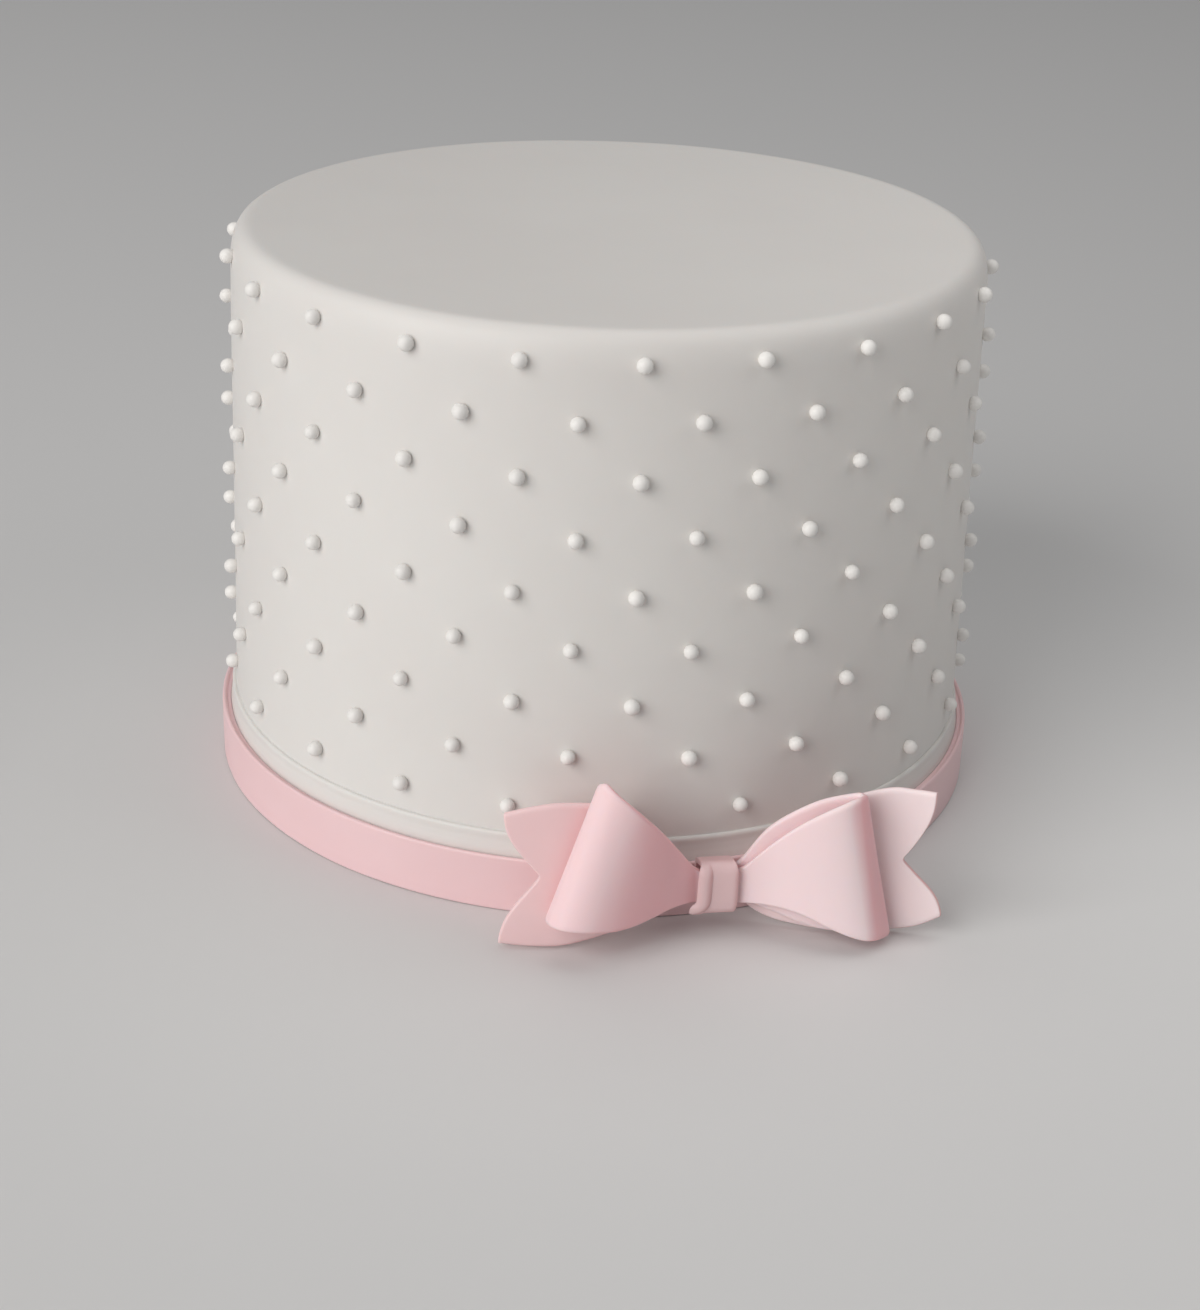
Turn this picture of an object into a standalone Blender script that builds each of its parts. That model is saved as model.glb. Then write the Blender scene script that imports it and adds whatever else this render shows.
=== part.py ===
"""Bow cake: a tall round cake under smooth white icing.

Nine staggered rows of sugar pearls run round its side. A strip of white icing
goes round the foot, a band of pink sugarpaste goes round that, and a bow of the
same paste sits on the band at the front: notched tails, two loops and a knot.

Metres, +Z up. The origin is on the cake's axis in the plane it stands on, and
the bow is at -Y.
"""

import math
import random

import bmesh
import bpy
from mathutils import Vector

MM = 0.001

# Cake under its icing
CAKE_HEIGHT = 150.2 * MM
TOP_RADIUS = 99.9 * MM             # of the side, carried on up to the top
FOOT_RADIUS = 102.3 * MM           # of the side behind the foot band
EDGE_RUN = 6.0 * MM                # the top edge's rounding, inwards
EDGE_DROP = 12.0 * MM              # and downwards
EDGE_FULLNESS = 2.8                # 2 is a quarter of an ellipse, more is fuller
EDGE_STEPS = 5
FACETS_A_PEARL = 4                 # faces of the round side from one pearl to the next

# Sugar pearls
PEARL_RADIUS = 2.0 * MM
PEARL_STAND_OFF = 1.3 * MM         # centre out from the icing: the pearls are pressed in
PEARLS_A_ROW = 22
PEARL_ROWS = 9
TOP_ROW_HEIGHT = 143.4 * MM
ROW_PITCH = 14.37 * MM
FIRST_PEARL_ANGLE = math.tau / PEARLS_A_ROW / 4   # from the bow towards +X, in the top row
PEARL_SLIP = 0.45 * MM             # how far a pearl strays from its place
PEARL_SEED = 11

# Bands round the foot
GAP = 0.3 * MM                     # between pieces that touch
FOOT_BAND_THICKNESS = 1.4 * MM
FOOT_BAND_HEIGHT = 20.6 * MM
RIBBON_SLACK = 0.4 * MM            # the ribbon stands this far off the foot band
RIBBON_THICKNESS = 1.9 * MM
RIBBON_HEIGHT = 15.0 * MM
BAND_SEGMENTS = 72

# Bow
PASTE_THICKNESS = 1.8 * MM         # of the tails and the loops
LAYER = 2.4 * MM                   # one layer of paste and the room to the next
KNOT_WALL = 1.5 * MM
KNOT_WIDTH = 8.4 * MM
KNOT_MIDDLE = -1.8 * MM            # along the bow
KNOT_BOTTOM = 5.4 * MM
KNOT_TOP = 20.3 * MM
KNOT_BACK_DROP = 2.4 * MM          # the knot's top slopes down to the cake by this much
KNOT_FLARE = 2.4 * MM              # the strip's end, at the knot's lower -X corner
BOW_TURN = math.radians(-7.2)      # its +X end stands further out
BOW_STAND_OFF = 1.1 * MM           # room for the turned knot behind the bow
TAIL_NOTCHES = (0.183, 0.214)      # share of each tail's length that its end cut takes
NOTCH_CURVE = 1.6                  # 1 is a straight-sided notch


def clear_scene():
    for item in list(bpy.data.objects):
        bpy.data.objects.remove(item, do_unlink=True)


def new_collection(name):
    collection = bpy.data.collections.new(name)
    bpy.context.scene.collection.children.link(collection)
    return collection


def paste_material(name, colour, roughness):
    material = bpy.data.materials.new(name)
    material.use_nodes = True
    shader = material.node_tree.nodes["Principled BSDF"]
    shader.inputs["Base Color"].default_value = (*colour, 1.0)
    shader.inputs["Roughness"].default_value = roughness
    shader.inputs["Metallic"].default_value = 0.0
    material.diffuse_color = (*colour, 1.0)
    return material


def add_object(name, mesh, collection, material):
    item = bpy.data.objects.new(name, mesh)
    collection.objects.link(item)
    mesh.materials.append(material)
    return item


def smooth_faces(mesh, crease_degrees=40):
    mesh.shade_smooth()
    mesh.set_sharp_from_angle(angle=math.radians(crease_degrees))


def as_evaluated(item):
    """Put an object's modifiers into its mesh."""
    depsgraph = bpy.context.evaluated_depsgraph_get()
    mesh = bpy.data.meshes.new_from_object(item.evaluated_get(depsgraph))
    item.modifiers.clear()
    item.data = mesh
    mesh.name = item.name
    return mesh


def turned_piece(name, profile, closed, segments, collection, material):
    """Turn a profile of (radius, height) points round the cake's axis."""
    mesh = bpy.data.meshes.new(name)
    points = [(radius, 0.0, height) for radius, height in profile]
    edges = [(i, i + 1) for i in range(len(points) - 1)]
    if closed:
        edges.append((len(points) - 1, 0))
    mesh.from_pydata(points, edges, [])
    item = add_object(name, mesh, collection, material)
    screw = item.modifiers.new("turn", "SCREW")
    screw.angle = math.tau
    screw.steps = segments
    screw.render_steps = segments
    screw.use_merge_vertices = True
    screw.merge_threshold = 0.00001
    return item


def side_radius(height):
    """The icing's radius at a height: it widens a little towards the foot band."""
    share = (height - FOOT_BAND_HEIGHT) / (CAKE_HEIGHT - FOOT_BAND_HEIGHT)
    return FOOT_RADIUS + (TOP_RADIUS - FOOT_RADIUS) * max(share, 0.0)


def cake_profile():
    edge_base = CAKE_HEIGHT - EDGE_DROP
    edge_radius = side_radius(edge_base)
    profile = [(0.0, CAKE_HEIGHT)]
    for step in range(EDGE_STEPS + 1):
        angle = math.pi / 2 * step / EDGE_STEPS
        along = math.sin(angle) ** (2 / EDGE_FULLNESS)
        up = abs(math.cos(angle)) ** (2 / EDGE_FULLNESS)
        profile.append((edge_radius - EDGE_RUN * (1 - along), edge_base + EDGE_DROP * up))
    profile.append((FOOT_RADIUS, FOOT_BAND_HEIGHT))
    profile.append((FOOT_RADIUS, 0.0))
    profile.append((0.0, 0.0))
    return profile


def pearl_places():
    """Where the pearls sit: (angle from the bow, height), staggered row by row."""
    draw = random.Random(PEARL_SEED)
    step = math.tau / PEARLS_A_ROW
    for row in range(PEARL_ROWS):
        height = TOP_ROW_HEIGHT - row * ROW_PITCH
        stagger = -step / 2 if row % 2 else 0.0
        for place in range(PEARLS_A_ROW):
            slip_along = draw.uniform(-PEARL_SLIP, PEARL_SLIP)
            slip_up = draw.uniform(-PEARL_SLIP, PEARL_SLIP)
            angle = FIRST_PEARL_ANGLE + stagger + place * step
            yield angle + slip_along / FOOT_RADIUS, height + slip_up


def make_pearls(collection, material):
    """One coarse ball for each pearl, its pole pointing out of the icing."""
    shape = bmesh.new()
    bmesh.ops.create_uvsphere(shape, u_segments=6, v_segments=4, radius=PEARL_RADIUS)
    ball = bpy.data.meshes.new("pearl")
    shape.to_mesh(ball)
    shape.free()
    ball.materials.append(material)
    for number, (angle, height) in enumerate(pearl_places()):
        outward = Vector((math.sin(angle), -math.cos(angle), 0.0))
        pearl = bpy.data.objects.new(f"pearl_{number}", ball)
        pearl.location = outward * (side_radius(height) + PEARL_STAND_OFF)
        pearl.location.z = height
        pearl.rotation_euler = outward.to_track_quat("Z", "Y").to_euler()
        collection.objects.link(pearl)


def make_cake(collection, cutters, material):
    """The iced cake, with its pearls fused on."""
    segments = PEARLS_A_ROW * FACETS_A_PEARL
    cake = turned_piece("cake", cake_profile(), False, segments, collection, material)
    facet = math.tau / segments
    cake.rotation_euler.z = FIRST_PEARL_ANGLE - math.pi / 2 + facet / 2
    make_pearls(cutters, material)
    bpy.context.view_layer.update()
    fuse = cake.modifiers.new("pearls", "BOOLEAN")
    fuse.operation = "UNION"
    fuse.operand_type = "COLLECTION"
    fuse.collection = cutters
    fuse.solver = "EXACT"
    mesh = as_evaluated(cake)
    for pearl in list(cutters.objects):
        bpy.data.objects.remove(pearl, do_unlink=True)
    smooth_faces(mesh)
    return cake


def foot_band_profile():
    inner = FOOT_RADIUS + GAP
    outer = inner + FOOT_BAND_THICKNESS
    rounding = FOOT_BAND_THICKNESS * 0.7
    corner = outer - rounding
    profile = [(inner, FOOT_BAND_HEIGHT)]
    for step in range(4):
        angle = math.pi / 2 * step / 3
        profile.append((corner + rounding * math.sin(angle),
                        FOOT_BAND_HEIGHT - rounding * (1 - math.cos(angle))))
    profile.append((outer, 0.0))
    profile.append((inner, 0.0))
    return profile


def ribbon_inner_radius():
    return FOOT_RADIUS + GAP + FOOT_BAND_THICKNESS + RIBBON_SLACK


def ribbon_profile():
    inner = ribbon_inner_radius()
    outer = inner + RIBBON_THICKNESS
    softening = 0.4 * MM
    return [
        (inner, RIBBON_HEIGHT),
        (outer - softening, RIBBON_HEIGHT),
        (outer, RIBBON_HEIGHT - softening),
        (outer, 0.0),
        (inner, 0.0),
    ]


def smooth_point(points, share):
    """A point on the smooth curve through points, by its share of the way along."""
    last = len(points) - 1
    place = min(max(share, 0.0), 1.0) * last
    start = min(int(place), last - 1)
    part = place - start
    before = points[max(start - 1, 0)]
    here = points[start]
    there = points[start + 1]
    after = points[min(start + 2, last)]
    return 0.5 * (
        2 * here
        + (there - before) * part
        + (2 * before - 5 * here + 4 * there - after) * part ** 2
        + (3 * here - before - 3 * there + after) * part ** 3
    )


# Stations of the tails from one tip to the other: along the bow, out from the
# cake and up, first for the lower edge and then for the upper one.
TAIL_ROWS = (
    (-56.4, 6.4, 1.1, -55.1, 3.4, 35.6),
    (-48.8, 7.7, 0.5, -47.9, 4.5, 37.6),
    (-39.9, 8.6, 0.7, -39.9, 5.2, 38.5),
    (-28.0, 8.0, 3.4, -28.0, 4.8, 36.4),
    (-17.0, 4.9, 5.4, -17.0, 3.2, 27.2),
    (-12.0, 2.4, 6.2, -12.0, 1.6, 20.6),
    (-7.4, 0.4, 7.7, -7.4, 0.4, 15.1),
    (-1.8, 0.0, 8.1, -1.8, 0.0, 14.7),
    (4.0, 0.2, 7.6, 4.0, 0.2, 15.1),
    (9.4, 1.7, 3.4, 9.4, 1.2, 21.6),
    (16.0, 4.5, 1.4, 16.0, 2.9, 28.6),
    (28.0, 8.8, 0.5, 28.0, 4.8, 35.3),
    (39.9, 9.8, 0.6, 39.7, 6.4, 38.9),
    (47.9, 12.2, 2.5, 46.2, 9.0, 39.4),
    (53.8, 14.4, 6.3, 50.5, 11.6, 39.7),
)

# Stations of a loop in the same way, from the knot out along its front, round
# its fold and back along the tails.
RIGHT_LOOP_ROWS = (
    (0.6, 4.8, 8.0, 0.6, 4.7, 17.0),
    (4.6, 4.9, 7.9, 4.6, 4.8, 17.8),
    (11.3, 9.0, 8.9, 10.5, 7.6, 25.2),
    (17.9, 13.4, 8.6, 16.2, 11.6, 32.4),
    (24.0, 16.9, 6.4, 21.4, 14.6, 37.3),
    (29.7, 19.1, 4.4, 25.9, 15.6, 40.0),
    (34.1, 19.4, 3.2, 29.4, 14.5, 40.8),
    (37.9, 17.2, 2.4, 31.6, 12.5, 40.4),
    (40.2, 14.0, 1.5, 31.9, 10.5, 39.7),
    (38.4, 12.0, 1.4, 30.2, 8.8, 39.2),
    (24.0, 10.8, 2.4, 21.0, 7.2, 36.4),
    (11.0, 5.2, 6.0, 11.0, 4.4, 28.8),
    (4.6, 2.7, 7.8, 4.6, 2.7, 19.0),
    (0.6, 2.4, 8.0, 0.6, 2.4, 15.6),
)
LEFT_LOOP_ROWS = (
    (-4.0, 4.8, 8.0, -4.0, 4.8, 16.6),
    (-7.8, 5.0, 8.8, -7.8, 5.0, 18.8),
    (-13.6, 8.2, 9.4, -12.6, 8.0, 25.3),
    (-19.4, 12.0, 9.1, -17.5, 12.1, 32.7),
    (-25.2, 15.5, 8.9, -22.7, 14.9, 39.0),
    (-31.1, 18.2, 9.4, -26.6, 15.4, 42.9),
    (-37.4, 19.4, 10.3, -29.7, 14.4, 45.5),
    (-42.6, 17.8, 10.3, -31.6, 12.3, 46.9),
    (-44.9, 13.8, 9.7, -32.5, 10.2, 45.7),
    (-42.8, 10.9, 9.3, -31.0, 8.6, 43.4),
    (-26.0, 10.2, 8.4, -22.0, 7.4, 34.8),
    (-13.5, 5.6, 8.4, -12.5, 4.8, 24.4),
    (-7.8, 2.8, 8.0, -7.8, 2.8, 17.6),
    (-4.0, 2.4, 8.0, -4.0, 2.4, 15.6),
)


def strip_mesh(name, surface, across, along, closed=False):
    """A sheet of quads over surface(share along, share across)."""
    points = []
    for i in range(along if closed else along + 1):
        for j in range(across + 1):
            points.append(surface(i / along, j / across))
    faces = []
    columns = len(points) // (across + 1)
    for i in range(along):
        here = i * (across + 1)
        there = (i + 1) % columns * (across + 1)
        for j in range(across):
            faces.append((here + j, there + j, there + j + 1, here + j + 1))
    mesh = bpy.data.meshes.new(name)
    mesh.from_pydata(points, [], faces)
    return mesh


def paste_piece(mesh, thickness, offset, collection, material):
    """Give a sheet its thickness: offset 0 grows it both ways, -1 away from its inside."""
    item = add_object(mesh.name, mesh, collection, material)
    solid = item.modifiers.new("paste", "SOLIDIFY")
    solid.thickness = thickness
    solid.offset = offset
    solid.use_even_offset = True
    smooth_faces(mesh)
    return item


def in_bow_frame(point):
    """Along, out and up as the bow's own X, -Y and Z."""
    return Vector((point.x, -point.y, point.z))


def ruled_surface(rows):
    """The surface of straight lines from a strip's lower edge to its upper one."""
    lower = [Vector(row[:3]) * MM for row in rows]
    upper = [Vector(row[3:]) * MM for row in rows]

    def surface(share, across):
        start = smooth_point(lower, share)
        end = smooth_point(upper, share)
        return in_bow_frame(start.lerp(end, across))

    return surface


def tail_sheet():
    """The tails' middle sheet, notched at both ends."""
    uncut = ruled_surface(TAIL_ROWS)

    def surface(share, across):
        from_middle = 2 * share - 1
        cut = TAIL_NOTCHES[from_middle > 0] * (1 - abs(2 * across - 1)) ** NOTCH_CURVE
        pull = 1 - cut * from_middle ** 2
        return uncut(0.5 + from_middle * pull / 2, across)

    return strip_mesh("bow_tails", surface, 6, 28)


def loop_sheet(name, rows):
    return strip_mesh(name, ruled_surface(rows), 4, 28)


# The knot's band across its width: how far along it, and how many millimetres
# its surface stands up there. Its -X edge is folded over into a ridge.
KNOT_RIDGES = (
    (0.0, 0.3),
    (0.07, 0.8),
    (0.16, 0.7),
    (0.26, 0.05),
    (0.6, 0.0),
    (0.92, 0.2),
    (1.0, 0.0),
)


def knot_sheet():
    """The inside of the knot's band: a rounded box wrapped round the bow's middle."""
    back = -(PASTE_THICKNESS / 2 + GAP)
    front = 2 * LAYER - back
    low = KNOT_BOTTOM + KNOT_WALL
    high = KNOT_TOP - KNOT_WALL
    middle = Vector((KNOT_MIDDLE, (front + back) / 2, (high + low) / 2))
    squareness = 0.3

    def surface(share, across):
        place, rise = KNOT_RIDGES[round(across * (len(KNOT_RIDGES) - 1))]
        turn = math.tau * share
        out = math.copysign(abs(math.cos(turn)) ** squareness, math.cos(turn))
        up = math.copysign(abs(math.sin(turn)) ** squareness, math.sin(turn))
        in_front = max(math.cos(turn), 0.0)
        at_corner = max(math.cos(turn + math.pi / 4), 0.0) ** 8
        along = (place - 0.5) * KNOT_WIDTH - KNOT_FLARE * at_corner * (1 - place) ** 2
        reach = (front - back) / 2 * out + rise * MM * in_front
        drop = KNOT_BACK_DROP * (1 - out) / 2 * (1 + up) / 2
        return in_bow_frame(middle + Vector((along, reach, (high - low) / 2 * up - drop)))

    return strip_mesh("bow_knot", surface, len(KNOT_RIDGES) - 1, 20, closed=True)


def make_bow(collection, material):
    ribbon_front = ribbon_inner_radius() + RIBBON_THICKNESS
    knot_back = PASTE_THICKNESS / 2 + GAP + KNOT_WALL
    sheets = (
        (tail_sheet(), PASTE_THICKNESS, 0.0),
        (loop_sheet("bow_loop_right", RIGHT_LOOP_ROWS), PASTE_THICKNESS, 0.0),
        (loop_sheet("bow_loop_left", LEFT_LOOP_ROWS), PASTE_THICKNESS, 0.0),
        (knot_sheet(), KNOT_WALL, -1.0),
    )
    for sheet, thickness, offset in sheets:
        piece = paste_piece(sheet, thickness, offset, collection, material)
        piece.location.y = -(ribbon_front + GAP + BOW_STAND_OFF + knot_back)
        piece.rotation_euler.z = BOW_TURN


def main():
    clear_scene()
    parts = new_collection("bow_cake")
    cutters = new_collection("pearls")
    white = paste_material("white_icing", (0.80, 0.78, 0.75), 0.55)
    white_paste = paste_material("white_paste", (0.82, 0.80, 0.77), 0.5)
    pink = paste_material("pink_paste", (0.85, 0.55, 0.56), 0.5)
    make_cake(parts, cutters, white)
    turned_piece("foot_band", foot_band_profile(), True, BAND_SEGMENTS, parts, white_paste)
    turned_piece("ribbon", ribbon_profile(), True, BAND_SEGMENTS, parts, pink)
    make_bow(parts, pink)
    bpy.data.collections.remove(cutters)


main()
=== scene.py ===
"""Looks for the bow cake: iced and pearled, with its two bands and its bow."""
import math

import bmesh
import bpy
from mathutils import Matrix, Vector


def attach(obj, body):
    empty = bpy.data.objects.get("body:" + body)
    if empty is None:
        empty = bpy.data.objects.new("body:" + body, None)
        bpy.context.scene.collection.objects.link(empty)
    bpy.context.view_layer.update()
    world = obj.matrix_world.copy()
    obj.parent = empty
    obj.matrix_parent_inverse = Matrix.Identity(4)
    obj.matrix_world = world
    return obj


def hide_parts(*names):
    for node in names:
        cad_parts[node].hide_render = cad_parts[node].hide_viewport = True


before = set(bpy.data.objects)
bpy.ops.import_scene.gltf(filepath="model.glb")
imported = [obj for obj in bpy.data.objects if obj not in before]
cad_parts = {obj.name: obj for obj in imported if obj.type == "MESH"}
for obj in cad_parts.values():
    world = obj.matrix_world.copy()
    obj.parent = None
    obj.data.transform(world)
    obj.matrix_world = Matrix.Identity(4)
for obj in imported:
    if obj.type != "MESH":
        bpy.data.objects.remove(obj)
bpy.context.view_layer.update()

MM = 0.001

# The viewpoint: a little above the cake and to the left of its bow, looking
# down on the top, with a lens about as long as a portrait one.
camera = bpy.data.cameras.new("viewpoint")
camera.lens = 65.76
camera.sensor_width = 36.0
camera.clip_start = 0.05
camera.clip_end = 40.0
VIEW_FROM = (-0.18573, -0.59632, 0.31278)
VIEW_TURNS = (65.131, -1.872, -16.547)  # degrees about X, Y and Z
viewer = bpy.data.objects.new("viewpoint", camera)
viewer.location = VIEW_FROM
viewer.rotation_euler = [math.radians(turn) for turn in VIEW_TURNS]
bpy.context.scene.collection.objects.link(viewer)
bpy.context.scene.camera = viewer


# The icing: a tall round cake under one sheet of white sugarpaste, smoothed by
# hand over a soft top edge. The sheet is turned from its outline, and wanders
# a fraction of a millimetre as hand-smoothed paste does.
CAKE_HEIGHT = 150.2 * MM
TOP_RADIUS = 99.9 * MM             # of the side, carried on up to the top
FOOT_RADIUS = 102.3 * MM           # of the side behind the foot band
EDGE_RUN = 6.0 * MM                # the top edge's rounding, inwards
EDGE_DROP = 12.0 * MM              # and downwards
EDGE_FULLNESS = 2.8                # 2 is a quarter of an ellipse, more is fuller
EDGE_STEPS = 16
FOOT_BAND_HEIGHT = 20.6 * MM

# How rolled paste looks close up
GRAINS = 1400.0                    # in a metre
DENTS = 90.0                       # in a metre
DENT_TO_GRAIN = 4.0                # a dent is this many times as deep as a grain
CLOUD_SPAN = (0.35, 0.7)           # the noise values between its two colours
CLOUD_SHEEN = 0.12                 # how much the clouds spread the sheen
LIGHT_REACH = 2.0 * MM             # how far light gets in the paste, at most
LIGHT_REACH_RGB = (1.0, 0.7, 0.55)  # red, green and blue light's shares of that
# The painted highlight: a pale colour painted on the paste where it faces the soft light, standing
# in for that light on its lit faces. Also here are the way towards that light and how the
# highlight's share runs.
PAINTED_HIGHLIGHT_COLOUR = (0.98, 0.94, 0.95, 1.0)
PAINTED_LIGHT_FROM = (-0.832, -0.437, 0.342)
PAINTED_HIGHLIGHT_SPAN = (0.1, 0.5)             # cosines to PAINTED_LIGHT_FROM, from no painted highlight to the full one
PAINTED_HIGHLIGHT_REACH = 50.0 * MM             # either way from the middle to its end's full share


def add(tree, kind, feeds=None, **options):
    """Add a node, set its options, and feed its inputs with values or sockets."""
    made = tree.nodes.new(kind)
    for option, value in options.items():
        setattr(made, option, value)
    for place, feed in (feeds or {}).items():
        if isinstance(feed, bpy.types.NodeSocket):
            tree.links.new(feed, made.inputs[place])
        else:
            made.inputs[place].default_value = feed
    return made


def calc(tree, operation, first, second=0.0, third=0.0):
    """One sum in a tree, as its output socket."""
    made = add(tree, "ShaderNodeMath", {0: first, 1: second, 2: third}, operation=operation)
    return made.outputs[0]


def blend(tree, share, first, second):
    """Two colours blended in a tree, as an output socket."""
    return add(tree, "ShaderNodeMix", {0: share, 6: first, 7: second}, data_type="RGBA").outputs[2]


def new_tree(name, kind, sizes, puts_out):
    """A node tree with named inputs and outputs, and the two nodes that hold them."""
    tree = bpy.data.node_groups.new(name, kind)
    for label, socket in sizes:
        tree.interface.new_socket(label, in_out="INPUT", socket_type=socket)
    for label, socket in puts_out:
        tree.interface.new_socket(label, in_out="OUTPUT", socket_type=socket)
    given = tree.nodes.new("NodeGroupInput")
    return tree, given, tree.nodes.new("NodeGroupOutput")


def grow(item, tree, **sizes):
    """Run a geometry tree on an object and keep what it makes as a plain mesh."""
    modifier = item.modifiers.new(tree.name, "NODES")
    modifier.node_group = tree
    for socket in tree.interface.items_tree:
        label = socket.name.lower().replace(" ", "_")
        if socket.in_out == "INPUT" and label in sizes:
            modifier[socket.identifier] = sizes[label]
    return keep_mesh(item)


def keep_mesh(item):
    """Put an object's modifiers into its mesh and remove them."""
    bpy.context.view_layer.update()
    depsgraph = bpy.context.evaluated_depsgraph_get()
    mesh = bpy.data.meshes.new_from_object(item.evaluated_get(depsgraph), depsgraph=depsgraph)
    item.modifiers.clear()
    item.data = mesh
    return item


def face_outwards(item):
    shape = bmesh.new()
    shape.from_mesh(item.data)
    bmesh.ops.remove_doubles(shape, verts=shape.verts, dist=0.001 * MM)
    bmesh.ops.recalc_face_normals(shape, faces=shape.faces)
    shape.to_mesh(item.data)
    shape.free()


def put_in_scene(name, mesh):
    item = bpy.data.objects.new(name, mesh)
    bpy.context.scene.collection.objects.link(item)
    return item


def outline(name, points, closed):
    """A profile of (radius, height) points as a line in the XZ plane."""
    mesh = bpy.data.meshes.new(name)
    edges = [(i, i + 1) for i in range(len(points) - 1)]
    if closed:
        edges.append((len(points) - 1, 0))
    mesh.from_pydata([(radius, 0.0, height) for radius, height in points], edges, [])
    return put_in_scene(name, mesh)


def turning_tree():
    """Turn a profile round the Z axis, let the surface wander, and close its seam."""
    tree, given, result = new_tree(
        "turned from its outline",
        "GeometryNodeTree",
        (
            ("Outline", "NodeSocketGeometry"),
            ("Rings", "NodeSocketInt"),
            ("Segments", "NodeSocketInt"),
            ("Wander", "NodeSocketFloat"),
            ("Wander size", "NodeSocketFloat"),
            ("Seed", "NodeSocketFloat"),
            ("Paste", "NodeSocketMaterial"),
        ),
        (("Mesh", "NodeSocketGeometry"),),
    )
    curve = add(tree, "GeometryNodeMeshToCurve", {"Mesh": given.outputs["Outline"]})
    grid = add(tree, "GeometryNodeMeshGrid", {
        "Size X": 1.0,
        "Size Y": 1.0,
        "Vertices X": given.outputs["Rings"],
        "Vertices Y": given.outputs["Segments"],
    })
    on_grid = tree.nodes.new("GeometryNodeInputPosition").outputs[0]
    place = add(tree, "ShaderNodeSeparateXYZ", {0: on_grid})
    share = calc(tree, "ADD", place.outputs["X"], 0.5)
    turn = calc(tree, "MULTIPLY", calc(tree, "ADD", place.outputs["Y"], 0.5), math.tau)
    on_outline = add(tree, "GeometryNodeSampleCurve", {
        "Curves": curve.outputs[0],
        "Factor": share,
    }, mode="FACTOR")
    point = add(tree, "ShaderNodeSeparateXYZ", {0: on_outline.outputs["Position"]})
    turned = add(tree, "ShaderNodeCombineXYZ", {
        "X": calc(tree, "MULTIPLY", point.outputs["X"], calc(tree, "COSINE", turn)),
        "Y": calc(tree, "MULTIPLY", point.outputs["X"], calc(tree, "SINE", turn)),
        "Z": point.outputs["Z"],
    })
    shell = add(tree, "GeometryNodeSetPosition", {
        "Geometry": grid.outputs["Mesh"],
        "Position": turned.outputs[0],
    })
    shut = add(tree, "GeometryNodeMergeByDistance", {
        "Geometry": shell.outputs[0],
        "Distance": 0.01 * MM,
    })
    clouds = add(tree, "ShaderNodeTexNoise", {
        "Scale": given.outputs["Wander size"],
        "Detail": 1.0,
        "W": given.outputs["Seed"],
    }, noise_dimensions="4D")
    up_or_down = calc(tree, "SUBTRACT", clouds.outputs["Fac"], 0.5)
    lift = calc(tree, "MULTIPLY", up_or_down, given.outputs["Wander"])
    push = add(tree, "ShaderNodeVectorMath", {
        0: tree.nodes.new("GeometryNodeInputNormal").outputs[0],
        "Scale": lift,
    }, operation="SCALE")
    wandering = add(tree, "GeometryNodeSetPosition", {
        "Geometry": shut.outputs[0],
        "Offset": push.outputs[0],
    })
    smooth = add(tree, "GeometryNodeSetShadeSmooth", {"Geometry": wandering.outputs[0]})
    real = add(tree, "GeometryNodeRealizeInstances", {"Geometry": smooth.outputs[0]})
    coated = add(tree, "GeometryNodeSetMaterial", {
        "Geometry": real.outputs[0],
        "Material": given.outputs["Paste"],
    })
    tree.links.new(coated.outputs[0], result.inputs[0])
    return tree


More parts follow.
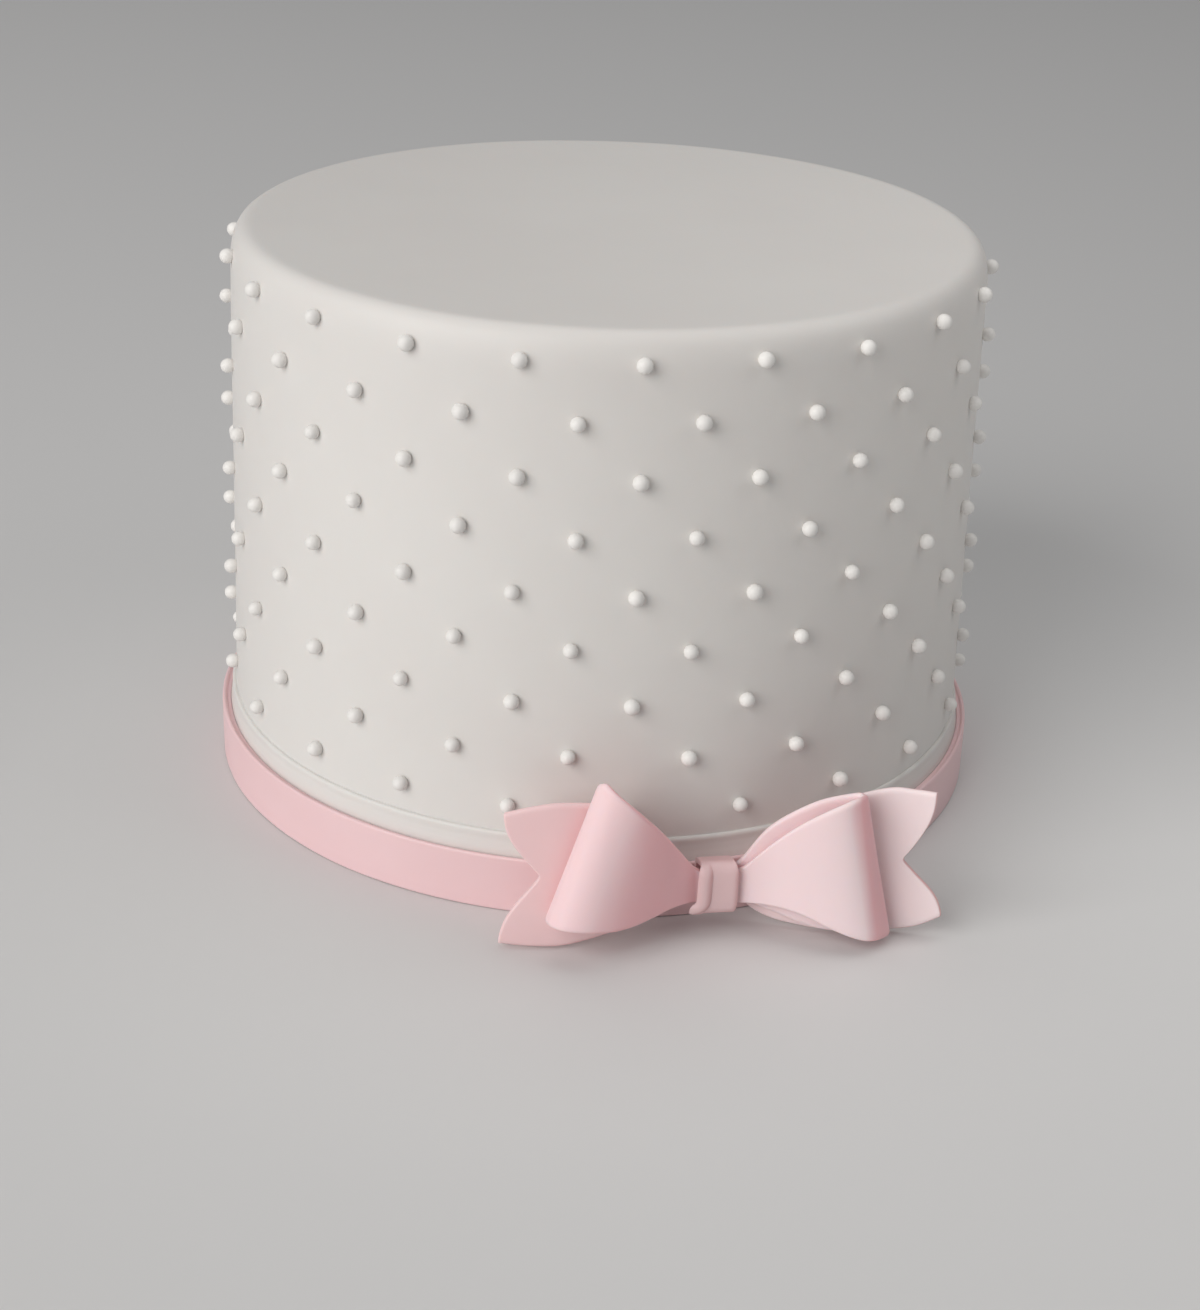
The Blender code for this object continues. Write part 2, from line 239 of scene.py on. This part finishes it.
def rolled_paste():
    """What all rolled sugarpaste shares: faint clouds, soft dents, a powdery grain
    and a painted highlight, a pale colour laid where the paste faces the soft light
    (PAINTED_LIGHT_FROM), which can be stronger at one end (-X or +X) than the other."""
    tree, given, result = new_tree(
        "rolled sugarpaste",
        "ShaderNodeTree",
        (
            ("Colour", "NodeSocketColor"),
            ("Deeper colour", "NodeSocketColor"),
            ("Cloud size", "NodeSocketFloat"),
            ("Grain size", "NodeSocketFloat"),
            ("Sheen spread", "NodeSocketFloat"),
            ("Painted highlight at left", "NodeSocketFloat"),
            ("Painted highlight at right", "NodeSocketFloat"),
        ),
        (
            ("Colour", "NodeSocketColor"),
            ("Roughness", "NodeSocketFloat"),
            ("Height", "NodeSocketFloat"),
        ),
    )
    spot = add(tree, "ShaderNodeTexCoord")
    where = spot.outputs["Object"]
    clouds = add(tree, "ShaderNodeTexNoise", {
        "Vector": where,
        "Scale": given.outputs["Cloud size"],
        "Detail": 3.0,
    })
    grain = add(tree, "ShaderNodeTexNoise", {
        "Vector": where,
        "Scale": given.outputs["Grain size"],
        "Detail": 4.0,
    })
    dents = add(tree, "ShaderNodeTexNoise", {"Vector": where, "Scale": DENTS, "Detail": 1.0})
    deeper = add(tree, "ShaderNodeMapRange", {
        "Value": clouds.outputs["Fac"],
        "From Min": CLOUD_SPAN[0],
        "From Max": CLOUD_SPAN[1],
    })
    coloured = blend(
        tree, deeper.outputs[0], given.outputs["Colour"], given.outputs["Deeper colour"]
    )
    # The painted highlight's share along X, between the shares given for the -X and +X ends.
    painted_highlight = add(tree, "ShaderNodeMapRange", {
        "Value": add(tree, "ShaderNodeSeparateXYZ", {0: where}).outputs["X"],
        "From Min": -PAINTED_HIGHLIGHT_REACH,
        "From Max": PAINTED_HIGHLIGHT_REACH,
        "To Min": given.outputs["Painted highlight at left"],
        "To Max": given.outputs["Painted highlight at right"],
    }, interpolation_type="SMOOTHSTEP")
    # How squarely the paste faces the soft light: the painted highlight's mask.
    faces = add(tree, "ShaderNodeVectorMath", {
        0: spot.outputs["Normal"],
        1: PAINTED_LIGHT_FROM,
    }, operation="DOT_PRODUCT")
    facing_the_light = add(tree, "ShaderNodeMapRange", {
        "Value": faces.outputs["Value"],
        "From Min": PAINTED_HIGHLIGHT_SPAN[0],
        "From Max": PAINTED_HIGHLIGHT_SPAN[1],
    })
    painted_highlight_share = calc(tree, "MULTIPLY", painted_highlight.outputs[0], facing_the_light.outputs[0])
    with_painted_highlight = blend(tree, painted_highlight_share, coloured, PAINTED_HIGHLIGHT_COLOUR)
    tree.links.new(with_painted_highlight, result.inputs["Colour"])
    sheen = calc(tree, "MULTIPLY_ADD", clouds.outputs["Fac"], CLOUD_SHEEN,
                 given.outputs["Sheen spread"])
    tree.links.new(sheen, result.inputs["Roughness"])
    height = calc(tree, "MULTIPLY_ADD", dents.outputs["Fac"], DENT_TO_GRAIN, grain.outputs["Fac"])
    tree.links.new(height, result.inputs["Height"])
    return tree


def sugarpaste(name, colour, deeper, cloud_size, roughness, sheen,
               grain_depth=0.012 * MM, through=0.15, bloom=0.0, painted_highlight=(0.0, 0.0)):
    """A matte paste with a faint sheen, a little light passing through it, and at
    need a painted highlight towards the soft light, whose shares are for -X and +X."""
    material = bpy.data.materials.new(name)
    material.use_nodes = True
    tree = material.node_tree
    shader = tree.nodes["Principled BSDF"]
    surface = add(tree, "ShaderNodeGroup", node_tree=PASTE_SURFACE)
    surface.inputs["Colour"].default_value = (*colour, 1.0)
    surface.inputs["Deeper colour"].default_value = (*deeper, 1.0)
    surface.inputs["Cloud size"].default_value = cloud_size
    surface.inputs["Grain size"].default_value = GRAINS
    surface.inputs["Sheen spread"].default_value = roughness
    surface.inputs["Painted highlight at left"].default_value = painted_highlight[0]
    surface.inputs["Painted highlight at right"].default_value = painted_highlight[1]
    bump = add(tree, "ShaderNodeBump", {
        "Height": surface.outputs["Height"],
        "Distance": grain_depth,
        "Strength": 1.0,
    })
    tree.links.new(surface.outputs["Colour"], shader.inputs["Base Color"])
    tree.links.new(surface.outputs["Roughness"], shader.inputs["Roughness"])
    tree.links.new(bump.outputs["Normal"], shader.inputs["Normal"])
    shader.inputs["Subsurface Weight"].default_value = through
    shader.inputs["Subsurface Radius"].default_value = LIGHT_REACH_RGB
    shader.inputs["Subsurface Scale"].default_value = LIGHT_REACH
    shader.inputs["Specular IOR Level"].default_value = sheen
    shader.inputs["Sheen Weight"].default_value = bloom
    shader.inputs["Sheen Roughness"].default_value = 0.5
    return material


def side_radius(height):
    share = (height - FOOT_BAND_HEIGHT) / (CAKE_HEIGHT - FOOT_BAND_HEIGHT)
    return FOOT_RADIUS + (TOP_RADIUS - FOOT_RADIUS) * max(share, 0.0)


edge_base = CAKE_HEIGHT - EDGE_DROP
icing_outline = [(0.0, CAKE_HEIGHT)]
for step in range(EDGE_STEPS + 1):
    lean = math.pi / 2 * step / EDGE_STEPS
    icing_outline.append((
        side_radius(edge_base) - EDGE_RUN * (1 - math.sin(lean) ** (2 / EDGE_FULLNESS)),
        edge_base + EDGE_DROP * abs(math.cos(lean)) ** (2 / EDGE_FULLNESS),
    ))
icing_outline += [(FOOT_RADIUS, FOOT_BAND_HEIGHT), (FOOT_RADIUS, 0.0), (0.0, 0.0)]

TURNED = turning_tree()
PASTE_SURFACE = rolled_paste()
white_paste = sugarpaste(
    "white sugarpaste", (0.76, 0.737, 0.708), (0.736, 0.708, 0.68),
    cloud_size=14.0, roughness=0.46, sheen=0.5,
)
icing = outline("icing", icing_outline, closed=False)
grow(icing, TURNED, rings=340, segments=200, wander=0.7 * MM, wander_size=16.0, seed=3.0,
     paste=white_paste)
face_outwards(icing)
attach(icing, "root")
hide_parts("cake")


# The sugar pearls: small hard balls of white sugar, set by hand in staggered
# rows and pressed a little into the icing. Each is dropped where a line from
# the cake's axis meets the icing.
PEARL_RADIUS = 2.0 * MM
PEARL_STAND_OFF = 1.3 * MM         # centre out from the icing: the pearls are pressed in
PEARL_SIZES = (0.94, 1.03)         # the smallest and largest, as shares of PEARL_RADIUS
PEARLS_A_ROW = 22
PEARL_ROWS = 9
TOP_ROW_HEIGHT = 143.4 * MM
ROW_PITCH = 14.37 * MM
PEARL_SLIP = 0.45 * MM             # how far a pearl strays from its place
PEARL_SEED = 11


def pearl_tree():
    """Rows of pearls over the surface that the tree is given."""
    tree, given, result = new_tree(
        "rows of sugar pearls",
        "GeometryNodeTree",
        (
            ("Icing", "NodeSocketGeometry"),
            ("Rows", "NodeSocketInt"),
            ("Pearls a row", "NodeSocketInt"),
            ("Top row height", "NodeSocketFloat"),
            ("Row pitch", "NodeSocketFloat"),
            ("Slip", "NodeSocketFloat"),
            ("Radius", "NodeSocketFloat"),
            ("Stand off", "NodeSocketFloat"),
            ("Seed", "NodeSocketInt"),
            ("Sugar", "NodeSocketMaterial"),
        ),
        (("Mesh", "NodeSocketGeometry"),),
    )
    a_row = given.outputs["Pearls a row"]
    number = tree.nodes.new("GeometryNodeInputIndex").outputs[0]
    row = calc(tree, "FLOOR", calc(tree, "DIVIDE", calc(tree, "ADD", number, 0.5), a_row))
    place = calc(tree, "SUBTRACT", number, calc(tree, "MULTIPLY", row, a_row))
    pitch = calc(tree, "DIVIDE", math.tau, a_row)
    odd = calc(tree, "MODULO", row, 2.0)
    stagger = calc(tree, "SUBTRACT", 0.25, calc(tree, "MULTIPLY", odd, 0.5))
    slips = []
    for offset in (0, 1):
        draw = add(tree, "FunctionNodeRandomValue", {
            "Seed": calc(tree, "ADD", given.outputs["Seed"], float(offset)),
        }, data_type="FLOAT")
        draw.inputs[2].default_value = -1.0
        draw.inputs[3].default_value = 1.0
        slips.append(calc(tree, "MULTIPLY", draw.outputs[1], given.outputs["Slip"]))
    angle = calc(tree, "MULTIPLY", calc(tree, "ADD", place, stagger), pitch)
    angle = calc(tree, "ADD", angle, calc(tree, "DIVIDE", slips[0], FOOT_RADIUS))
    drop = calc(tree, "MULTIPLY", row, given.outputs["Row pitch"])
    height = calc(tree, "SUBTRACT", given.outputs["Top row height"], drop)
    on_axis = add(tree, "ShaderNodeCombineXYZ", {"Z": calc(tree, "ADD", height, slips[1])})
    outward = add(tree, "ShaderNodeCombineXYZ", {
        "X": calc(tree, "SINE", angle),
        "Y": calc(tree, "MULTIPLY", calc(tree, "COSINE", angle), -1.0),
    })
    meets = add(tree, "GeometryNodeRaycast", {
        "Target Geometry": given.outputs["Icing"],
        "Source Position": on_axis.outputs[0],
        "Ray Direction": outward.outputs[0],
        "Ray Length": 1.0,
    })
    stood = add(tree, "ShaderNodeVectorMath", {
        0: outward.outputs[0],
        "Scale": given.outputs["Stand off"],
    }, operation="SCALE")
    centre = add(tree, "ShaderNodeVectorMath", {
        0: meets.outputs["Hit Position"],
        1: stood.outputs[0],
    }, operation="ADD")
    count = calc(tree, "MULTIPLY", given.outputs["Rows"], a_row)
    points = add(tree, "GeometryNodePoints", {"Count": count, "Position": centre.outputs[0]})
    ball = add(tree, "GeometryNodeMeshUVSphere", {
        "Segments": 12,
        "Rings": 8,
        "Radius": given.outputs["Radius"],
    })
    facing = add(tree, "FunctionNodeAlignRotationToVector", {
        "Vector": outward.outputs[0],
    }, axis="Z")
    size = add(tree, "FunctionNodeRandomValue", {"Seed": given.outputs["Seed"]}, data_type="FLOAT")
    size.inputs[2].default_value, size.inputs[3].default_value = PEARL_SIZES
    set_on = add(tree, "GeometryNodeInstanceOnPoints", {
        "Points": points.outputs[0],
        "Instance": ball.outputs["Mesh"],
        "Rotation": facing.outputs[0],
        "Scale": size.outputs[1],
    })
    real = add(tree, "GeometryNodeRealizeInstances", {"Geometry": set_on.outputs[0]})
    smooth = add(tree, "GeometryNodeSetShadeSmooth", {"Geometry": real.outputs[0]})
    sugared = add(tree, "GeometryNodeSetMaterial", {
        "Geometry": smooth.outputs[0],
        "Material": given.outputs["Sugar"],
    })
    tree.links.new(sugared.outputs[0], result.inputs[0])
    return tree


pearl_sugar = sugarpaste(
    "pearl sugar", (0.88, 0.86, 0.83), (0.82, 0.80, 0.775),
    cloud_size=60.0, roughness=0.42, sheen=0.4, grain_depth=0.008 * MM, through=0.0,
)
pearls = put_in_scene("sugar_pearls", icing.data.copy())
grow(pearls, pearl_tree(), rows=PEARL_ROWS, pearls_a_row=PEARLS_A_ROW,
     top_row_height=TOP_ROW_HEIGHT, row_pitch=ROW_PITCH, slip=PEARL_SLIP,
     radius=PEARL_RADIUS, stand_off=PEARL_STAND_OFF, seed=PEARL_SEED, sugar=pearl_sugar)
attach(pearls, "root")
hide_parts("cake")


# The foot band: a strip of the same white paste rolled flat, cut straight and
# wrapped round the foot. Its top edge is pressed on and rounded over by the
# fingers, which leaves a soft rim along it.
GAP = 0.3 * MM                     # between pieces that touch
FOOT_BAND_THICKNESS = 1.4 * MM

# Its outer side, in millimetres: out from the icing, and down from its top.
FOOT_BAND_SIDE = (
    (-0.4, 0.0),
    (0.15, 0.3),
    (0.5, 0.15),
    (0.8, 0.35),
    (1.0, 0.9),
    (0.95, 2.4),
    (1.15, 4.0),
    (1.4, 5.2),
    (1.65, 7.0),
)
band_outer = FOOT_RADIUS + GAP + FOOT_BAND_THICKNESS
band_outline = [
    (FOOT_RADIUS + out * MM, FOOT_BAND_HEIGHT - down * MM) for out, down in FOOT_BAND_SIDE
]
band_outline += [(band_outer - 0.05 * MM, 0.0), (band_outline[0][0], 0.0)]
foot_strip = outline("white_foot_strip", band_outline, closed=True)
grow(foot_strip, TURNED, rings=150, segments=240, wander=0.25 * MM, wander_size=30.0, seed=8.0,
     paste=white_paste)
face_outwards(foot_strip)
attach(foot_strip, "root")
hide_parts("foot_band")


# The ribbon: a narrower strip of pale pink paste, thick as a coin, stood on
# edge round the foot. Its top edge is rounded, and thins a little behind.
RIBBON_SLACK = 0.4 * MM            # the ribbon stands this far off the foot band
RIBBON_THICKNESS = 1.9 * MM
RIBBON_HEIGHT = 15.0 * MM

# Its top edge, in millimetres: in from its outer side, and down from its top.
RIBBON_TOP = (
    (0.0, 0.55),
    (0.12, 0.2),
    (0.4, 0.0),
    (0.7, 0.0),
    (0.95, 0.2),
    (1.15, 0.8),
    (2.3, 0.8),
)
ribbon_outer = band_outer + RIBBON_SLACK + RIBBON_THICKNESS
ribbon_outline = [
    (ribbon_outer - into * MM, RIBBON_HEIGHT - down * MM) for into, down in RIBBON_TOP
]
ribbon_outline += [(ribbon_outline[-1][0], 0.0), (ribbon_outer, 0.0)]
pink_paste = sugarpaste(
    "pink sugarpaste", (0.87, 0.62, 0.635), (0.845, 0.585, 0.60),
    cloud_size=22.0, roughness=0.4, sheen=0.5,
)
ribbon = outline("pink_band", ribbon_outline, closed=True)
grow(ribbon, TURNED, rings=150, segments=240, wander=0.3 * MM, wander_size=26.0, seed=21.0,
     paste=pink_paste)
face_outwards(ribbon)
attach(ribbon, "root")
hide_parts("ribbon")


# The bow's tails: one sheet of pink paste behind the loops, pinched to a waist
# under the knot, bulging out from the cake on both sides and cut to a fishtail
# at each end.
PASTE_THICKNESS = 1.8 * MM
KNOT_WALL = 1.5 * MM
BOW_STAND_OFF = 1.1 * MM           # room for the turned knot behind the bow
BOW_TURN = math.radians(-7.2)      # its +X end stands further out
TAIL_NOTCHES = (0.183, 0.214)      # share of each tail's length that its end cut takes
NOTCH_CURVE = 1.6                  # 1 is a straight-sided notch

# Across the sheet from tip to tip: along the bow, out from the cake and up, in
# millimetres, for the lower edge and then for the upper one.
TAIL_ROWS = (
    (-56.4, 6.4, 1.1, -55.1, 3.4, 35.6),
    (-48.8, 7.7, 0.5, -47.9, 4.5, 37.6),
    (-39.9, 8.6, 0.7, -39.9, 5.2, 38.5),
    (-28.0, 8.0, 3.4, -28.0, 4.8, 36.4),
    (-17.0, 4.9, 5.4, -17.0, 3.2, 27.2),
    (-12.0, 2.4, 6.2, -12.0, 1.6, 20.6),
    (-7.4, 0.4, 7.7, -7.4, 0.4, 15.1),
    (-1.8, 0.0, 8.1, -1.8, 0.0, 14.7),
    (4.0, 0.2, 7.6, 4.0, 0.2, 15.1),
    (9.4, 1.7, 3.4, 9.4, 1.2, 21.6),
    (16.0, 4.5, 1.4, 16.0, 2.9, 28.6),
    (28.0, 8.8, 0.5, 28.0, 4.8, 35.3),
    (39.9, 9.8, 0.6, 39.7, 6.4, 38.9),
    (47.9, 12.2, 2.5, 46.2, 9.0, 39.4),
    (53.8, 14.4, 6.3, 50.5, 11.6, 39.7),
)
waist_out = ribbon_outer + GAP + BOW_STAND_OFF + PASTE_THICKNESS / 2 + GAP + KNOT_WALL
bow_place = Matrix.Translation((0.0, -waist_out, 0.0)) @ Matrix.Rotation(BOW_TURN, 4, "Z")


def smooth_point(points, share):
    """A point on the smooth curve through points, by its share of the way along."""
    last = len(points) - 1
    place = min(max(share, 0.0), 1.0) * last
    start = min(int(place), last - 1)
    part = place - start
    before = points[max(start - 1, 0)]
    here = points[start]
    there = points[start + 1]
    after = points[min(start + 2, last)]
    return 0.5 * (
        2 * here
        + (there - before) * part
        + (2 * before - 5 * here + 4 * there - after) * part ** 2
        + (3 * here - before - 3 * there + after) * part ** 3
    )


def ruled(rows):
    """The surface of straight lines from a strip's lower edge to its upper one."""
    lower = [Vector(row[:3]) * MM for row in rows]
    upper = [Vector(row[3:]) * MM for row in rows]

    def surface(share, across):
        return smooth_point(lower, share).lerp(smooth_point(upper, share), across)

    return surface


def rolled_sheet(name, paste, surface, along, across, thickness, offset=0.0, closed=False):
    """Lay paste over surface(along, across), give it its thickness and dull its cuts."""
    points = []
    columns = along if closed else along + 1
    for i in range(columns):
        for j in range(across + 1):
            point = surface(i / along, j / across)
            points.append(bow_place @ Vector((point.x, -point.y, point.z)))
    faces = []
    for i in range(along):
        here = i * (across + 1)
        there = (i + 1) % columns * (across + 1)
        for j in range(across):
            faces.append((here + j, there + j, there + j + 1, here + j + 1))
    mesh = bpy.data.meshes.new(name)
    mesh.from_pydata(points, [], faces)
    mesh.shade_smooth()
    item = put_in_scene(name, mesh)
    solid = item.modifiers.new("rolled thickness", "SOLIDIFY")
    solid.thickness = thickness
    solid.offset = offset
    solid.use_even_offset = True
    dulled = item.modifiers.new("dulled cuts", "SUBSURF")
    dulled.levels = 1
    dulled.render_levels = 1
    keep_mesh(item)
    item.data.materials.clear()
    item.data.materials.append(paste)
    return item


def notched_tails(share, across):
    """The tails' sheet, drawn in towards its middle where the fishtails are cut."""
    from_middle = 2 * share - 1
    cut = TAIL_NOTCHES[from_middle > 0] * (1 - abs(2 * across - 1)) ** NOTCH_CURVE
    pull = 1 - cut * from_middle ** 2
    return uncut_tails(0.5 + from_middle * pull / 2, across)


uncut_tails = ruled(TAIL_ROWS)
# Painted light on the tails: their own colour is set more saturated than the ribbon's, as the
# paste looks in shade. A painted highlight lightens the faces towards the soft light, more at the
# +X tail.
tail_paste = sugarpaste(
    "pink sugarpaste of the tails", (0.88, 0.54, 0.545), (0.86, 0.51, 0.515),
    cloud_size=22.0, roughness=0.44, sheen=0.6, bloom=0.3, painted_highlight=(0.25, 0.62),
)
tails = rolled_sheet("tails_of_paste", tail_paste, notched_tails,
                     along=128, across=26, thickness=PASTE_THICKNESS)
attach(tails, "root")
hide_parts("bow_tails")


# The loops: two strips of the same paste, each folded back on itself and tucked
# under the knot. They stand out in a soft crest and are open at top and bottom.
# Their rows run from the front under the knot round the crest to the back, and
# read as those of the tails do.
RIGHT_LOOP_ROWS = (
    (0.6, 4.8, 8.0, 0.6, 4.7, 17.0),
    (4.6, 4.9, 7.9, 4.6, 4.8, 17.8),
    (11.3, 9.0, 8.9, 10.5, 7.6, 25.2),
    (17.9, 13.4, 8.6, 16.2, 11.6, 32.4),
    (24.0, 16.9, 6.4, 21.4, 14.6, 37.3),
    (29.7, 19.1, 4.4, 25.9, 15.6, 40.0),
    (34.1, 19.4, 3.2, 29.4, 14.5, 40.8),
    (37.9, 17.2, 2.4, 31.6, 12.5, 40.4),
    (40.2, 14.0, 1.5, 31.9, 10.5, 39.7),
    (38.4, 12.0, 1.4, 30.2, 8.8, 39.2),
    (24.0, 10.8, 2.4, 21.0, 7.2, 36.4),
    (11.0, 5.2, 6.0, 11.0, 4.4, 28.8),
    (4.6, 2.7, 7.8, 4.6, 2.7, 19.0),
    (0.6, 2.4, 8.0, 0.6, 2.4, 15.6),
)
LEFT_LOOP_ROWS = (
    (-4.0, 4.8, 8.0, -4.0, 4.8, 16.6),
    (-7.8, 5.0, 8.8, -7.8, 5.0, 18.8),
    (-13.6, 8.2, 9.4, -12.6, 8.0, 25.3),
    (-19.4, 12.0, 9.1, -17.5, 12.1, 32.7),
    (-25.2, 15.5, 8.9, -22.7, 14.9, 39.0),
    (-31.1, 18.2, 9.4, -26.6, 15.4, 42.9),
    (-37.4, 19.4, 10.3, -29.7, 14.4, 45.5),
    (-42.6, 17.8, 10.3, -31.6, 12.3, 46.9),
    (-44.9, 13.8, 9.7, -32.5, 10.2, 45.7),
    (-42.8, 10.9, 9.3, -31.0, 8.6, 43.4),
    (-26.0, 10.2, 8.4, -22.0, 7.4, 34.8),
    (-13.5, 5.6, 8.4, -12.5, 4.8, 24.4),
    (-7.8, 2.8, 8.0, -7.8, 2.8, 17.6),
    (-4.0, 2.4, 8.0, -4.0, 2.4, 15.6),
)
# Painted light on the loops: their own colour is set more saturated than the ribbon's, as the
# paste looks in shade. A painted highlight lightens the faces towards the soft light, more at the
# +X loop.
loop_paste = sugarpaste(
    "pink sugarpaste with painted highlight", (0.92, 0.535, 0.56), (0.90, 0.505, 0.53),
    cloud_size=22.0, roughness=0.5, sheen=0.5, through=0.4, bloom=0.2, painted_highlight=(0.36, 0.6),
)
for name, node, rows in (
    ("right_loop_of_paste", "bow_loop_right", RIGHT_LOOP_ROWS),
    ("left_loop_of_paste", "bow_loop_left", LEFT_LOOP_ROWS),
):
    loop = rolled_sheet(name, loop_paste, ruled(rows),
                        along=144, across=22, thickness=PASTE_THICKNESS)
    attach(loop, "root")
    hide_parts(node)


# The knot: a short strip of the same paste wrapped round the bow's middle. Its
# left edge is folded over into a ridge that flares out at the lower corner.
LAYER = 2.4 * MM                   # one layer of paste and the room to the next
KNOT_WIDTH = 8.4 * MM
KNOT_MIDDLE = -1.8 * MM            # along the bow
KNOT_BOTTOM = 5.4 * MM
KNOT_TOP = 20.3 * MM
KNOT_BACK_DROP = 2.4 * MM          # the knot's top slopes down to the cake by this much
KNOT_FLARE = 2.4 * MM              # the strip's end, at the knot's lower -X corner
KNOT_SQUARENESS = 0.3              # 1 is an ellipse in section, less is squarer
FLARE_TIGHTNESS = 8                # more keeps the flare closer to its corner

# Across the strip's front: share of the way from -X, and rise in millimetres.
KNOT_RIDGES = (
    (0.0, 0.3),
    (0.07, 0.8),
    (0.16, 0.7),
    (0.26, 0.05),
    (0.6, 0.0),
    (0.92, 0.2),
    (1.0, 0.0),
)


def wrapped_knot(share, across):
    """Round the bow's middle in a rounded box, from the front up over its top."""
    place, rise = smooth_point([Vector(ridge) for ridge in KNOT_RIDGES], across)
    back = -(PASTE_THICKNESS / 2 + GAP)
    front = 2 * LAYER - back
    low = KNOT_BOTTOM + KNOT_WALL
    high = KNOT_TOP - KNOT_WALL
    turn = math.tau * share
    out = math.copysign(abs(math.cos(turn)) ** KNOT_SQUARENESS, math.cos(turn))
    up = math.copysign(abs(math.sin(turn)) ** KNOT_SQUARENESS, math.sin(turn))
    in_front = max(math.cos(turn), 0.0)
    at_corner = max(math.cos(turn + math.pi / 4), 0.0) ** FLARE_TIGHTNESS
    drop = KNOT_BACK_DROP * (1 - out) / 2 * (1 + up) / 2
    return Vector((
        KNOT_MIDDLE + (place - 0.5) * KNOT_WIDTH - KNOT_FLARE * at_corner * (1 - place) ** 2,
        (front + back) / 2 + (front - back) / 2 * out + rise * MM * in_front,
        (high + low) / 2 + (high - low) / 2 * up - drop,
    ))


# The knot's paste is a darker copy of the bow's: painted shade for its place deep between the
# loops. Its painted highlight is weaker and the same at both ends.
shaded_knot_paste = sugarpaste(
    "pink sugarpaste of the knot", (0.77, 0.475, 0.48), (0.75, 0.445, 0.45),
    cloud_size=22.0, roughness=0.44, sheen=0.5, bloom=0.2, painted_highlight=(0.25, 0.25),
)
knot = rolled_sheet("knot_of_paste", shaded_knot_paste, wrapped_knot,
                    along=96, across=24, thickness=KNOT_WALL, offset=-1.0, closed=True)
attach(knot, "root")
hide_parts("bow_knot")


# The studio: a plain pale floor, a large soft light low on the left, a small
# near one on the right, a weaker one overhead and a dim glow from all round.
FLOOR_HALF = 8.0
FLOOR_DROP = 0.2 * MM
LIGHT_COLOUR = (1.0, 0.985, 0.97)
LIT_HEIGHT = 80.0 * MM             # the lights face the cake's middle

floor_mesh = bpy.data.meshes.new("floor")
floor_mesh.from_pydata(
    [(x * FLOOR_HALF, y * FLOOR_HALF, -FLOOR_DROP)
     for x, y in ((-1, -1), (1, -1), (1, 1), (-1, 1))],
    [], [(0, 1, 2, 3)],
)
floor = put_in_scene("floor", floor_mesh)
floor_paint = bpy.data.materials.new("pale floor")
floor_paint.use_nodes = True
floor_look = floor_paint.node_tree.nodes["Principled BSDF"]
floor_look.inputs["Base Color"].default_value = (0.69, 0.685, 0.68, 1.0)
floor_look.inputs["Roughness"].default_value = 0.6
floor_mesh.materials.append(floor_paint)

# Each light's power in watts, its width, and how far off and which way it is.
for name, power, size, distance, toward in (
    ("soft light", 95.0, 2.8, 3.4, Vector((-0.782, -0.410, 0.470))),
    ("near light", 0.39, 0.35, 0.439, Vector((0.635, -0.402, 0.660))),
    ("overhead light", 22.5, 2.4, 3.4, Vector((0.062, 0.199, 0.978))),
):
    soft_light = bpy.data.lights.new(name, "AREA")
    soft_light.size = size
    soft_light.energy = power
    soft_light.color = LIGHT_COLOUR
    window = bpy.data.objects.new(name, soft_light)
    window.location = toward * distance + Vector((0.0, 0.0, LIT_HEIGHT))
    window.rotation_euler = toward.to_track_quat("Z", "Y").to_euler()
    window.visible_camera = False
    bpy.context.scene.collection.objects.link(window)

world = bpy.data.worlds.new("glow")
world.use_nodes = True
glow = world.node_tree.nodes["Background"]
glow.inputs["Color"].default_value = (0.95, 0.97, 1.0, 1.0)
glow.inputs["Strength"].default_value = 0.155
bpy.context.scene.world = world

bpy.context.scene.view_settings.view_transform = "Standard"
